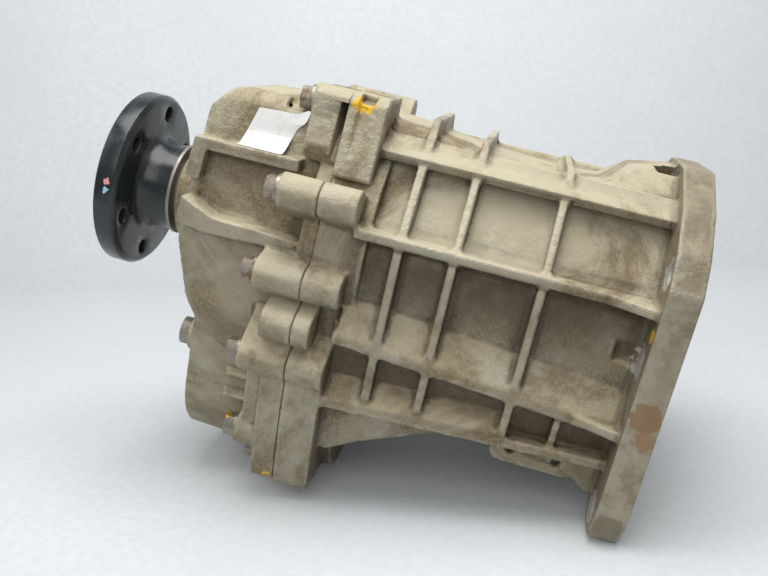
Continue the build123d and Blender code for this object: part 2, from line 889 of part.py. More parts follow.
def lip_seal(centre, start, inner, outer):
    """A seal case with a lip leaning onto the shaft."""
    return turned(
        centre,
        [
            (start, inner + 2.5),
            (start, outer),
            (start + seal_width, outer),
            (start + seal_width, outer - 2),
            (start + 2, outer - 2),
            (start + 2, inner + 2.5),
            (start + 5, inner + running),
            (start + 4, inner + running),
        ],
    )


save(lip_seal(main_axis, boss_end_x + 2, neck_radius, seal_outer), "rear_seal")
save(lip_seal(main_axis, front_seal_x, journal_radius, seal_outer), "input_seal")
save(ring(main_axis, front_bearing_x + main_bearing_width, 1.5, journal_radius - 0.95, 20.5), "snap_ring")

# Ball bearings of the main shaft
track = (journal_radius + main_bearing_outer) / 2
ball = 5.2
for name, start in (("rear_bearing", rear_bearing_x), ("front_bearing", front_bearing_x)):
    middle = start + main_bearing_width / 2
    width = main_bearing_width
    save(race(main_axis, start, width, track + 2.6, main_bearing_outer, track, ball), name + "_outer")
    save(race(main_axis, start, width, journal_radius, track - 2.6, track, ball), name + "_inner")
    save(balls(main_axis, middle, track, ball, 9), name + "_balls")

# Clutch: coil, ball cam, pack and drum, from the rear
coil_x = rear_bearing_x + main_bearing_width
save(ring(main_axis, coil_x, coil_width, coil_inner, coil_outer), "clutch_coil")
drum_front_x = chain_x - 2.0
stack_x = drum_front_x - 4.0 - plate_pairs * (plate_gauge + disc_gauge + 2 * stack_gap)
cam_x = stack_x - stack_gap - cam_thickness
pilot_x = cam_x - cam_thickness - 2.4
cam_track = 31.0


def cam_ring(start, pocket_face):
    """One half of the ball cam, with a shallow pocket for each ball."""
    with BuildPart() as piece:
        add(ring(main_axis, start, cam_thickness, shaft_radius + slip, 44.0))
        with Locations(Plane(origin=(pocket_face, 0, 0), x_dir=(0, 1, 0), z_dir=(1, 0, 0))):
            with PolarLocations(cam_track, 6):
                Sphere(cam_ball + running, mode=Mode.SUBTRACT)
    return piece.part


cam_middle = (cam_x + pilot_x + cam_thickness) / 2
save(cam_ring(pilot_x, cam_middle), "pilot_cam")
save(cam_ring(cam_x, cam_middle), "pressure_cam")
save(balls(main_axis, cam_middle, cam_track, cam_ball, 6), "cam_balls")

pack_length = plate_pairs * (plate_gauge + disc_gauge + 2 * stack_gap)
with BuildPart() as clutch_hub:
    with BuildSketch(Plane.YZ.offset(stack_x)):
        Circle(disc_inner - 1.3)
        with PolarLocations(disc_inner - 1.8, 24):
            Rectangle(3, 2.4)
        Circle(shaft_radius + running, mode=Mode.SUBTRACT)
    extrude(amount=pack_length)
save(clutch_hub.part, "clutch_hub")
with BuildPart() as friction_discs:
    for number in range(plate_pairs):
        start = stack_x + number * (plate_gauge + disc_gauge + 2 * stack_gap)
        add(ring(main_axis, start, disc_gauge, disc_inner, disc_outer))
save(friction_discs.part, "friction_discs")
with BuildPart() as steel_plates:
    for number in range(plate_pairs):
        start = stack_x + disc_gauge + stack_gap + number * (plate_gauge + disc_gauge + 2 * stack_gap)
        add(ring(main_axis, start, plate_gauge, plate_inner, plate_outer))
save(steel_plates.part, "steel_plates")
drum_rear_x = pilot_x - 3
with BuildPart() as clutch_drum:
    add(ring(main_axis, drum_rear_x, drum_front_x - drum_rear_x, drum_outer - drum_wall, drum_outer))
    add(ring(main_axis, drum_front_x - 4, 4.0, shaft_radius + 6, drum_outer))
save(clutch_drum.part, "clutch_drum")


# Sprockets and chain
def sprocket(name, centre, bore, start_angle, hub_start, hub_radius):
    """A toothed chain wheel with a hub towards the rear."""
    root = pitch_radius - tooth_height - 1.0
    tip = pitch_radius - 1.3
    points = []
    for tooth in range(teeth):
        for radius, half in ((root, -2.2), (tip, -0.8), (tip, 0.8), (root, 2.2)):
            turn = radians(start_angle + tooth * wheel_step) + half / radius
            points.append((centre[0] + radius * cos(turn), centre[1] + radius * sin(turn)))
    with BuildPart() as wheel:
        with BuildSketch(Plane.YZ.offset(chain_x)):
            with BuildLine():
                Polyline(*points, close=True)
            make_face()
        extrude(amount=chain_width)
        add(ring(centre, hub_start, chain_x - hub_start, bore, hub_radius))
        with BuildSketch(Plane.YZ.offset(hub_start)):
            with Locations(centre):
                Circle(bore)
        extrude(amount=chain_x + chain_width - hub_start, mode=Mode.SUBTRACT)
    save(wheel.part, name)


needle = 1.6
needle_track = shaft_radius + running + needle
sprocket("drive_sprocket", main_axis, needle_track + needle + running, 180 + axis_lean, drum_front_x, 30.0)
save(rollers(main_axis, chain_x, chain_width - 2, needle_track, needle, 12), "needle_rollers")
sprocket("driven_sprocket", lower_axis, lower_front_journal + running, axis_lean, chain_x - 4, 24.0)


def chain_point(step):
    """The chain's pitch line, step pitches on from the main wheel's far tangent point."""
    half_wrap = teeth / 2
    if step < run_links:
        return (pitch_radius, -step * pitch)
    if step < run_links + half_wrap:
        turn = radians(-(step - run_links) * wheel_step)
        return (pitch_radius * cos(turn), -centre_distance + pitch_radius * sin(turn))
    if step < 2 * run_links + half_wrap:
        return (-pitch_radius, -centre_distance + (step - run_links - half_wrap) * pitch)
    turn = radians(180 - (step - 2 * run_links - half_wrap) * wheel_step)
    return (pitch_radius * cos(turn), pitch_radius * sin(turn))


# The plates of a link are two-toed; outer pairs and inner blocks take turns round the loop
link_half = pitch / 2
link_near = [
    (link_half + 3.2, 0.8),
    (link_half + 1.6, link_height),
    (-link_half - 1.6, link_height),
    (-link_half - 3.2, 0.8),
    (-link_half - 2.2, -tooth_height),
    (-link_half - 0.4, -tooth_height),
    (-1.6, -0.4),
    (1.6, -0.4),
    (link_half + 0.4, -tooth_height),
    (link_half + 2.2, -tooth_height),
]
inner_block = 8.0
link_gap = 0.3
outer_plate = (chain_width - inner_block) / 2 - link_gap
link_count = int(2 * run_links + teeth)
lean = radians(axis_lean)
with BuildPart() as chain:
    for number in range(link_count):
        first = chain_point(number)
        last = chain_point((number + 1) % link_count)
        middle = ((first[0] + last[0]) / 2, (first[1] + last[1]) / 2)
        heading = (last[0] - first[0], last[1] - first[1])
        middle_y = middle[0] * cos(lean) - middle[1] * sin(lean)
        middle_z = middle[0] * sin(lean) + middle[1] * cos(lean)
        heading_y = heading[0] * cos(lean) - heading[1] * sin(lean)
        heading_z = heading[0] * sin(lean) + heading[1] * cos(lean)
        if number % 2:
            spans = [(chain_x, outer_plate), (chain_x + chain_width - outer_plate, outer_plate)]
        else:
            spans = [(chain_x + (chain_width - inner_block) / 2, inner_block)]
        for start, width in spans:
            across = Plane(origin=(start, middle_y, middle_z), x_dir=(0, heading_y, heading_z), z_dir=(1, 0, 0))
            with BuildSketch(across):
                with BuildLine():
                    Polyline(*link_near, close=True)
                make_face()
            extrude(amount=width)
save(chain.part, "chain")

# Front output shaft with its bearings and seal
lower_rear_end = lower_rear_x + lower_rear_width
output_bore = 10.0
output_bore_depth = 26.0
front_output_shaft = turned(
    lower_axis,
    [
        (lower_rear_x, 0),
        (lower_rear_x, lower_journal - running),
        (lower_rear_end, lower_journal - running),
        (lower_rear_end, lower_journal + 3),
        (lower_rear_end + 8, lower_journal + 3),
        (lower_rear_end + 8, lower_front_journal + 3),
        (chain_x - 4, lower_front_journal + 3),
        (chain_x - 4, lower_front_journal - running),
        (output_end_x, lower_front_journal - running),
        (output_end_x, output_bore),
        (output_end_x - output_bore_depth, output_bore),
        (output_end_x - output_bore_depth, 0),
    ],
)
save(front_output_shaft, "front_output_shaft")


def roller_bearing(name, start, width, inner, outer, count):
    """Outer ring, inner ring and rollers, each a piece of its own."""
    middle = (inner + outer) / 2
    roller = (outer - inner) / 4.4
    save(ring(lower_axis, start, width, middle + roller + running, outer), name + "_outer")
    save(ring(lower_axis, start, width, inner, middle - roller - running), name + "_inner")
    save(rollers(lower_axis, start + 1.5, width - 3, middle, roller, count), name + "_rollers")


roller_bearing("lower_rear_bearing", lower_rear_x, lower_rear_width, lower_journal, lower_rear_outer, 10)
roller_bearing("lower_front_bearing", lower_front_x, lower_front_width, lower_front_journal, lower_front_outer, 12)
save(
    lip_seal(lower_axis, lower_front_x + lower_front_width + 0.5, lower_front_journal, seal_outer),
    "front_output_seal",
)
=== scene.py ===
# Dresses the transfer case: cast housings, black companion flange, rusty bolts, dust and paint marks
import bpy
import bmesh
import math
import numpy as np
from mathutils import Matrix, Vector


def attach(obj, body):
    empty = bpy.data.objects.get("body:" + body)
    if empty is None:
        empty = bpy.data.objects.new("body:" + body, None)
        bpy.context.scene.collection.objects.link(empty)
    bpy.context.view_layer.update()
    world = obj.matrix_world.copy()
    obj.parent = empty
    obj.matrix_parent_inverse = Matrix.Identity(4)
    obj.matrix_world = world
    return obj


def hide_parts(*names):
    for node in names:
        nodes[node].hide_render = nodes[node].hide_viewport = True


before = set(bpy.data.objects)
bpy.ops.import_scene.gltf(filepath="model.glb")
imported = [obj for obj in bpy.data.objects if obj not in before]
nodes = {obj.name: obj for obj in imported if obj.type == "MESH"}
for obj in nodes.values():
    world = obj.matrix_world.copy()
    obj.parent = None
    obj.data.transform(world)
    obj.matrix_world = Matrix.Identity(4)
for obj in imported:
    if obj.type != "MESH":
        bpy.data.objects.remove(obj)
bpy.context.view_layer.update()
mm = 0.001
mergeGap = 0.00001

cameraLook = {
    "place": (-0.10766, -0.54722, 0.13182),
    "turn": (73.084, -12.387, 10.815),
    "lens": 40.21,
    "sensor": 36.0,
    "clip": 0.01,
}
floorLook = {
    "up": (-0.2531, 0.0, 0.9674),
    "centre": (-0.18, 0.0, 0.0),
    "frontReach": 1.2,
    "backReach": 0.55,
    "height": 1.6,
    "lean": 0.25,
    "halfWidth": 2.2,
    "bend": 0.35,
    "bendSegments": 16,
    "onLine": 0.0001,
    "colour": (0.735, 0.764, 0.778),
    "speckles": (160.0, 3.0),
    "speckShade": 0.93,
    "clouds": (6.0, 2.0),
    "cloudShade": 0.9,
    "cloudAmount": 0.4,
    "roughness": 0.55,
    "bump": (0.3, 0.001),
}
lamps = {
    "top": {"place": (-0.35, -0.15, 1.05), "size": 0.9, "power": 13.0, "aim": (-0.18, 0.0, 0.0)},
    "front": {"place": (-0.25, -1.15, 0.65), "size": 0.8, "power": 3.4, "aim": (-0.18, 0.0, 0.0)},
    "left": {"place": (-1.15, -0.35, 0.55), "size": 0.6, "power": 2.0, "aim": (-0.25, 0.0, 0.0)},
}
worldLook = {"light": (0.93, 0.96, 1.0), "strength": 0.30}


# helpers
def pickOnly(*things):
    bpy.ops.object.select_all(action="DESELECT")
    for thing in things:
        thing.select_set(True)
    bpy.context.view_layer.objects.active = things[0]


def useModifier(piece, kind, **values):
    modifier = piece.modifiers.new(kind.lower(), kind)
    for key, value in values.items():
        setattr(modifier, key, value)
    pickOnly(piece)
    bpy.ops.object.modifier_apply(modifier=modifier.name)


def mergePoints(piece):
    pickOnly(piece)
    bpy.ops.object.mode_set(mode="EDIT")
    bpy.ops.mesh.select_all(action="SELECT")
    bpy.ops.mesh.remove_doubles(threshold=mergeGap)
    bpy.ops.object.mode_set(mode="OBJECT")


def smoothFaces(piece):
    for polygon in piece.data.polygons:
        polygon.use_smooth = True


def copyNode(nodeName, pieceName):
    mesh = nodes[nodeName].data.copy()
    mesh.name = pieceName
    mesh.materials.clear()
    piece = bpy.data.objects.new(pieceName, mesh)
    bpy.context.scene.collection.objects.link(piece)
    mergePoints(piece)
    return piece


def handOver(piece, body, nodeName):
    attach(piece, body)
    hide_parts(nodeName)


# rounds of averaging between neighbours that each mark on the surface takes
markRounds = {"fine": 6, "wide": 60, "proud": 2, "sunken": 4}


# attributes that the dirt, wear and painted shade read: how proud, how sunken and how upward each point lies
def markSurface(piece):
    mesh = piece.data
    count = len(mesh.vertices)

    def readPoints(name):
        values = np.zeros(count * 3)
        mesh.vertices.foreach_get(name, values)
        return values.reshape(-1, 3)

    places = readPoints("co")
    normals = readPoints("normal")
    ends = np.zeros(len(mesh.edges) * 2, dtype=np.int32)
    mesh.edges.foreach_get("vertices", ends)
    ends = ends.reshape(-1, 2)
    first = np.concatenate([ends[:, 0], ends[:, 1]])
    second = np.concatenate([ends[:, 1], ends[:, 0]])
    share = np.maximum(np.bincount(first, minlength=count), 1)

    def spread(values, rounds):
        for turn in range(rounds):
            columns = [np.bincount(first, weights=column[second], minlength=count) for column in values.T]
            values = np.stack(columns, axis=1) / share[:, None]
        return values

    fine = spread(places, markRounds["fine"])
    wide = spread(fine, markRounds["wide"])
    proud = -np.einsum("ij,ij->i", fine - places, normals) / mm
    sunken = np.einsum("ij,ij->i", wide - places, normals) / mm
    proud = spread(proud[:, None], markRounds["proud"])[:, 0]
    sunken = spread(sunken[:, None], markRounds["sunken"])[:, 0]
    upward = normals @ np.array(Vector(floorLook["up"]).normalized())
    for name, values in (("proud", proud), ("sunken", sunken), ("upward", upward)):
        layer = mesh.attributes.new(name, "FLOAT", "POINT")
        layer.data.foreach_set("value", values.astype(np.float32))
    print(piece.name, "marked, proud up to", proud.max().round(2), "sunken up to", sunken.max().round(2))


# node helpers
def newGroup(name, inputs, outputs):
    group = bpy.data.node_groups.new(name, "ShaderNodeTree")
    for label, kind, value in inputs:
        socket = group.interface.new_socket(label, in_out="INPUT", socket_type=kind)
        if value is not None:
            socket.default_value = value
    for label, kind in outputs:
        group.interface.new_socket(label, in_out="OUTPUT", socket_type=kind)
    start = group.nodes.new("NodeGroupInput")
    end = group.nodes.new("NodeGroupOutput")
    return group, start, end


def join(tree, source, target):
    tree.links.new(source, target)


# links an output to a socket or writes a plain value there, with full alpha for a colour
def feed(tree, value, socket):
    if hasattr(value, "is_linked"):
        join(tree, value, socket)
    elif isinstance(value, tuple) and len(value) < len(socket.default_value):
        socket.default_value = (*value, 1.0)
    else:
        socket.default_value = value


def noiseNode(tree, vector, scale, detail=4.0, rough=0.55, twist=0.0):
    noise = tree.nodes.new("ShaderNodeTexNoise")
    join(tree, vector, noise.inputs["Vector"])
    feed(tree, scale, noise.inputs["Scale"])
    noise.inputs["Detail"].default_value = detail
    noise.inputs["Roughness"].default_value = rough
    noise.inputs["Distortion"].default_value = twist
    return noise.outputs["Fac"]


def rangeNode(tree, value, low, high, toLow=0.0, toHigh=1.0):
    mapping = tree.nodes.new("ShaderNodeMapRange")
    mapping.interpolation_type = "SMOOTHSTEP"
    mapping.clamp = True
    mapping.inputs["From Min"].default_value = low
    mapping.inputs["From Max"].default_value = high
    mapping.inputs["To Min"].default_value = toLow
    mapping.inputs["To Max"].default_value = toHigh
    join(tree, value, mapping.inputs["Value"])
    return mapping.outputs["Result"]


def mathNode(tree, kind, first, second):
    node = tree.nodes.new("ShaderNodeMath")
    node.operation = kind
    feed(tree, first, node.inputs[0])
    feed(tree, second, node.inputs[1])
    return node.outputs["Value"]


# the mix node's sockets for each kind of value: factor, first, second and the result
mixSockets = {"FLOAT": (0, 2, 3, 0), "RGBA": (0, 6, 7, 2)}


def mixNode(tree, kind, factor, first, second):
    node = tree.nodes.new("ShaderNodeMix")
    node.data_type = kind
    factorSocket, firstSocket, secondSocket, result = mixSockets[kind]
    feed(tree, factor, node.inputs[factorSocket])
    feed(tree, first, node.inputs[firstSocket])
    feed(tree, second, node.inputs[secondSocket])
    return node, node.outputs[result]


def mixColour(tree, factor, first, second, blend="MIX"):
    node, result = mixNode(tree, "RGBA", factor, first, second)
    node.blend_type = blend
    return result


def mixValue(tree, factor, first, second):
    return mixNode(tree, "FLOAT", factor, first, second)[1]


def readMark(tree, name):
    node = tree.nodes.new("ShaderNodeAttribute")
    node.attribute_name = name
    return node.outputs["Fac"]


# a dab of paint round one point, with a ragged edge
dabLook = {"radius": 0.005, "ragged": (260.0, 3.0), "middle": 0.5, "wobble": 0.009}


def makeDabGroup():
    group, start, end = newGroup(
        "paintDab",
        [
            ("Vector", "NodeSocketVector", None),
            ("Centre", "NodeSocketVector", None),
            ("Radius", "NodeSocketFloat", dabLook["radius"]),
        ],
        [("Mask", "NodeSocketFloat")],
    )
    away = group.nodes.new("ShaderNodeVectorMath")
    away.operation = "DISTANCE"
    join(group, start.outputs["Vector"], away.inputs[0])
    join(group, start.outputs["Centre"], away.inputs[1])
    ragged = noiseNode(group, start.outputs["Vector"], *dabLook["ragged"])
    wobble = mathNode(group, "SUBTRACT", ragged, dabLook["middle"])
    wobble = mathNode(group, "MULTIPLY", wobble, dabLook["wobble"])
    edge = mathNode(group, "ADD", away.outputs["Value"], wobble)
    inside = mathNode(group, "LESS_THAN", edge, start.outputs["Radius"])
    join(group, inside, end.inputs["Mask"])
    return group


# the castings' noises as scale, detail, roughness and twist
castNoises = {
    "broad": (22.0, 5.0, 0.6, 0.4),
    "middling": (90.0, 6.0, 0.65, 0.2),
    "speckle": (520.0, 3.0, 0.6),
    "blotches": (11.0, 6.0, 0.7, 0.6),
    "pits": (380.0, 5.0, 0.7),
}

# the layers over the bare metal, among them grime with painted shade, and how much of each shows where its
# mask is full
castLayers = {
    "mottle": {"colour": (0.33, 0.285, 0.195), "amount": 1.0},
    "pale": {"colour": (0.47, 0.41, 0.295), "amount": 0.45},
    "dust": {"colour": (0.60, 0.525, 0.375), "amount": 0.75},
    "blotches": {"colour": (0.20, 0.145, 0.08), "amount": 0.75},
    # grime with painted shade in hollows and on what faces down
    "grime": {"colour": (0.045, 0.034, 0.021), "amount": 1.0},
    "spots": {"colour": (0.62, 0.56, 0.44), "amount": 0.28},
    "sand": {"colour": (0.46, 0.38, 0.25), "amount": 0.55},
    # grime with painted shade in the inner corners
    "seams": {"colour": (0.045, 0.034, 0.021), "amount": 0.65},
    "pits": {"colour": (0.09, 0.068, 0.04), "amount": 0.4},
    # grime with the painted shadow of the rib above each lower bay
    "shade": {"colour": (0.10, 0.074, 0.042), "amount": 0.86},
    "swept": {"colour": (0.68, 0.64, 0.52), "amount": 0.5},
    "film": {"colour": (0.225, 0.19, 0.135), "amount": 0.85},
    "worn": {"colour": (0.50, 0.465, 0.39), "amount": 0.6},
}

# masks along X or Z, in metres: each is nought at the first place and full at the second
castRegions = {
    "tunnelRear": ("X", -0.196, -0.184),
    "tunnelFront": ("X", -0.012, -0.022),
    "low": ("Z", 0.026, 0.014),
    "underSill": ("Z", -0.036, 0.008),
    "underKeel": ("Z", -0.092, -0.060),
    "keelTop": ("Z", -0.044, -0.056),
    "plate": ("X", -0.024, -0.017),
}

castFinish = {
    "metal": (0.50, 0.475, 0.40),
    "tone": (0.90, 0.875, 0.79),
    "roughness": {"bare": 0.48, "dusty": 0.86, "rubbed": 0.34},
    "metallic": {"bare": 0.45, "dusty": 0.0, "grimy": 0.05},
    # how much grime with painted shade goes on what faces down, in hollows and outside the low bays
    "grimeUnder": 0.78,
    "grimeDeep": 0.88,
    "grimeElsewhere": 0.38,
    "dustByNoise": 0.7,
    "bump": (0.85, 0.0018),
}


# mottled metal, grime with painted shade in hollows and under the ribs, dust on top, worn crests
def makeDirtAndShadeGroup():
    marks = [(name, "NodeSocketFloat", 0.0) for name in ("Proud", "Sunken", "Upward")]
    colours = [("Metal", "NodeSocketColor", (*castFinish["metal"], 1.0))]
    for name, layer in castLayers.items():
        colours.append((name.capitalize(), "NodeSocketColor", (*layer["colour"], 1.0)))
    group, start, end = newGroup(
        "castDirt",
        [("Vector", "NodeSocketVector", None), *marks, *colours],
        [("Colour", "NodeSocketColor"), ("Roughness", "NodeSocketFloat"), ("Metallic", "NodeSocketFloat")],
    )
    vector = start.outputs["Vector"]
    proud = start.outputs["Proud"]
    sunken = start.outputs["Sunken"]
    upward = start.outputs["Upward"]
    along = group.nodes.new("ShaderNodeSeparateXYZ")
    join(group, vector, along.inputs["Vector"])
    noises = {name: noiseNode(group, vector, *values) for name, values in castNoises.items()}
    broad = noises["broad"]
    middling = noises["middling"]
    speckle = noises["speckle"]
    blotches = noises["blotches"]

    def ramp(value, *limits):
        return rangeNode(group, value, *limits)

    def times(first, second):
        return mathNode(group, "MULTIPLY", first, second)

    def most(first, second):
        return mathNode(group, "MAXIMUM", first, second)

    def region(name):
        axis, low, high = castRegions[name]
        return ramp(along.outputs[axis], low, high)

    def lay(colour, mask, name):
        factor = times(mask, castLayers[name]["amount"])
        return mixColour(group, factor, colour, start.outputs[name.capitalize()])

    colour = lay(start.outputs["Metal"], ramp(broad, 0.35, 0.68), "mottle")
    colour = lay(colour, ramp(middling, 0.5, 0.72), "pale")
    # dust that settled on what faces up, thickest where the casting is rough
    settled = mathNode(group, "ADD", upward, times(broad, castFinish["dustByNoise"]))
    dusty = times(ramp(settled, 0.35, 1.15), ramp(middling, 0.3, 0.6, 0.45, 1.0))
    colour = lay(colour, dusty, "dust")
    # dark grease and road dirt with painted shade, down in the bays, under the ribs and on what faces down
    underGrimeShade = times(ramp(upward, 0.2, -0.5), castFinish["grimeUnder"])
    hollowGrimeShade = times(ramp(sunken, 0.4, 3.4), castFinish["grimeDeep"])
    sheltered = ramp(upward, 0.5, 0.12, 0.1, 1.0)
    tunnel = times(region("tunnelRear"), region("tunnelFront"))
    low = region("low")
    lowTunnel = times(tunnel, low)
    grimeShadeCover = times(most(underGrimeShade, hollowGrimeShade), sheltered)
    grimeShadeCover = times(grimeShadeCover, mixValue(group, lowTunnel, castFinish["grimeElsewhere"], 1.0))
    grimy = times(grimeShadeCover, ramp(middling, 0.32, 0.62, 0.35, 1.0))
    colour = lay(colour, ramp(blotches, 0.45, 0.6), "blotches")
    colour = lay(colour, grimy, "grime")
    # pale spots, sand caught on the rough skin, dark grime with painted shade in the inner corners, and pits
    colour = lay(colour, times(ramp(speckle, 0.62, 0.7), ramp(broad, 0.4, 0.6)), "spots")
    colour = lay(colour, times(ramp(speckle, 0.44, 0.58), ramp(middling, 0.42, 0.6, 0.1, 1.0)), "sand")
    colour = lay(colour, times(ramp(proud, -0.1, -0.42), ramp(middling, 0.3, 0.6, 0.5, 1.0)), "seams")
    colour = lay(colour, ramp(noises["pits"], 0.6, 0.7), "pits")
    # grime and painted shadow: each lower bay is darkest under the rib above it
    underSill = times(region("underSill"), low)
    underKeel = times(region("underKeel"), region("keelTop"))
    shade = times(most(underSill, underKeel), times(tunnel, sheltered))
    shade = times(shade, ramp(proud, 0.25, 0.08, 0.25, 1.0))
    shade = times(shade, ramp(middling, 0.3, 0.62, 0.7, 1.0))
    colour = lay(colour, shade, "shade")
    # lighter patches on what faces up, outside the tunnel's low bays
    swept = times(mathNode(group, "SUBTRACT", 1.0, lowTunnel), ramp(upward, 0.02, 0.4))
    swept = times(swept, ramp(blotches, 0.6, 0.42))
    colour = lay(colour, swept, "swept")
    # the plate is darker than the rest
    colour = lay(colour, times(region("plate"), ramp(middling, 0.3, 0.6, 0.55, 1.0)), "film")
    # crests rubbed bright
    rubbed = times(ramp(proud, 0.18, 0.55), ramp(middling, 0.36, 0.6, 0.05, 1.0))
    colour = lay(colour, rubbed, "worn")
    # the whole casting has the yellowish tone of old road dust
    colour = mixColour(group, 1.0, colour, castFinish["tone"], "MULTIPLY")
    roughness = castFinish["roughness"]
    rough = mixValue(group, dusty, roughness["bare"], roughness["dusty"])
    rough = mixValue(group, rubbed, rough, roughness["rubbed"])
    metallic = mixValue(group, dusty, castFinish["metallic"]["bare"], castFinish["metallic"]["dusty"])
    metallic = mixValue(group, grimy, metallic, castFinish["metallic"]["grimy"])
    join(group, colour, end.inputs["Colour"])
    join(group, rough, end.inputs["Roughness"])
    join(group, metallic, end.inputs["Metallic"])
    return group


# sand-cast skin, as a height for a bump: fine grain and broader lumps
skinLook = {
    "grain": {"scale": 900.0, "detail": 3.0, "share": 0.3},
    "lumps": {"scale": 170.0, "detail": 4.0, "share": 0.7},
    "rough": 0.5,
}


def makeSkinGroup():
    grain = skinLook["grain"]
    lumps = skinLook["lumps"]
    group, start, end = newGroup(
        "castSkin",
        [
            ("Vector", "NodeSocketVector", None),
            ("Grain", "NodeSocketFloat", grain["scale"]),
            ("Lumps", "NodeSocketFloat", lumps["scale"]),
        ],
        [("Height", "NodeSocketFloat")],
    )
    vector = start.outputs["Vector"]
    fine = noiseNode(group, vector, start.outputs["Grain"], grain["detail"], skinLook["rough"])
    broad = noiseNode(group, vector, start.outputs["Lumps"], lumps["detail"], skinLook["rough"])
    fine = mathNode(group, "MULTIPLY", fine, grain["share"])
    broad = mathNode(group, "MULTIPLY", broad, lumps["share"])
    join(group, mathNode(group, "ADD", fine, broad), end.inputs["Height"])
    return group


# rust over steel
rustLook = {
    "amount": 0.5,
    "middle": 0.5,
    "steel": (0.32, 0.3, 0.27),
    "dark": (0.10, 0.045, 0.02),
    "light": (0.30, 0.15, 0.065),
    "patches": (160.0, 6.0, 0.65, 0.3),
    "grains": (700.0, 4.0, 0.6),
    "edge": (0.42, 0.6),
    "roughness": (0.4, 0.9),
    "metallic": (0.85, 0.05),
}


def makeRustGroup():
    group, start, end = newGroup(
        "rustOverSteel",
        [
            ("Vector", "NodeSocketVector", None),
            ("Amount", "NodeSocketFloat", rustLook["amount"]),
            ("Steel", "NodeSocketColor", (*rustLook["steel"], 1.0)),
        ],
        [
            ("Colour", "NodeSocketColor"),
            ("Roughness", "NodeSocketFloat"),
            ("Metallic", "NodeSocketFloat"),
            ("Height", "NodeSocketFloat"),
        ],
    )
    vector = start.outputs["Vector"]
    patches = noiseNode(group, vector, *rustLook["patches"])
    grains = noiseNode(group, vector, *rustLook["grains"])
    more = mathNode(group, "SUBTRACT", start.outputs["Amount"], rustLook["middle"])
    rusted = rangeNode(group, mathNode(group, "ADD", patches, more), *rustLook["edge"])
    rust = mixColour(group, grains, rustLook["dark"], rustLook["light"])
    join(group, mixColour(group, rusted, start.outputs["Steel"], rust), end.inputs["Colour"])
    join(group, mixValue(group, rusted, *rustLook["roughness"]), end.inputs["Roughness"])
    join(group, mixValue(group, rusted, *rustLook["metallic"]), end.inputs["Metallic"])
    join(group, mathNode(group, "MULTIPLY", rusted, grains), end.inputs["Height"])
    return group


dabGroup = makeDabGroup()
dirtAndShadeGroup = makeDirtAndShadeGroup()
skinGroup = makeSkinGroup()
rustGroup = makeRustGroup()
print("node groups ready")


# material helpers
def newMaterial(name):
    material = bpy.data.materials.new(name)
    material.use_nodes = True
    tree = material.node_tree
    shader = tree.nodes["Principled BSDF"]
    coordinates = tree.nodes.new("ShaderNodeTexCoord")
    return material, tree, shader, coordinates.outputs["Object"]


def placeGroup(tree, group, **values):
    node = tree.nodes.new("ShaderNodeGroup")
    node.node_tree = group
    for label, value in values.items():
        feed(tree, value, node.inputs[label])
    return node


def dress(tree, shader, colour, rough, metallic=0.0):
    feed(tree, colour, shader.inputs["Base Color"])
    feed(tree, rough, shader.inputs["Roughness"])
    feed(tree, metallic, shader.inputs["Metallic"])


def addBump(tree, shader, height, strength, distance):
    bump = tree.nodes.new("ShaderNodeBump")
    bump.inputs["Strength"].default_value = strength
    bump.inputs["Distance"].default_value = distance
    join(tree, height, bump.inputs["Height"])
    join(tree, bump.outputs["Normal"], shader.inputs["Normal"])


def paint(tree, place, colour, dabs):
    for dab in dabs:
        patch = placeGroup(tree, dabGroup, Vector=place, Centre=dab["centre"], Radius=dab["radius"])
        mask = mathNode(tree, "MULTIPLY", patch.outputs["Mask"], dab["amount"])
        colour = mixColour(tree, mask, colour, dab["colour"])
    return colour


# most of a noise's values lie in this span
noiseSpan = (0.3, 0.7)
yellow = (0.78, 0.47, 0.03)

# brown stains on the plate's edge, machined rings round the bolt holes and yellow paint
castDabs = [
    {"centre": (-0.0090, -0.1000, -0.0350), "radius": 0.0085, "amount": 0.75, "colour": (0.26, 0.14, 0.06)},
    {"centre": (-0.0060, -0.1000, -0.0480), "radius": 0.0060, "amount": 0.75, "colour": (0.30, 0.17, 0.08)},
    {"centre": (-0.0180, -0.0820, 0.0420), "radius": 0.0100, "amount": 0.75, "colour": (0.52, 0.50, 0.45)},
    {"centre": (-0.0180, -0.0820, -0.0100), "radius": 0.0100, "amount": 0.75, "colour": (0.50, 0.48, 0.43)},
    {"centre": (-0.0180, -0.0800, -0.1040), "radius": 0.0100, "amount": 0.75, "colour": (0.48, 0.46, 0.41)},
    {"centre": (-0.0180, -0.0120, 0.0830), "radius": 0.0100, "amount": 0.75, "colour": (0.50, 0.48, 0.43)},
    {"centre": (-0.2020, -0.0640, 0.0905), "radius": 0.0072, "amount": 1.0, "colour": yellow},
    {"centre": (-0.2420, -0.0620, -0.1230), "radius": 0.0050, "amount": 1.0, "colour": yellow},
    {"centre": (-0.2160, -0.0600, -0.1500), "radius": 0.0062, "amount": 1.0, "colour": yellow},
    {"centre": (-0.0180, -0.0920, 0.0080), "radius": 0.0040, "amount": 1.0, "colour": yellow},
]
boltLook = {
    "rust": 0.42,
    "steel": (0.30, 0.27, 0.22),
    "dabs": [{"centre": (-0.249, -0.062, -0.122), "radius": 0.0045, "amount": 1.0, "colour": yellow}],
    "bump": (0.5, 0.0006),
}
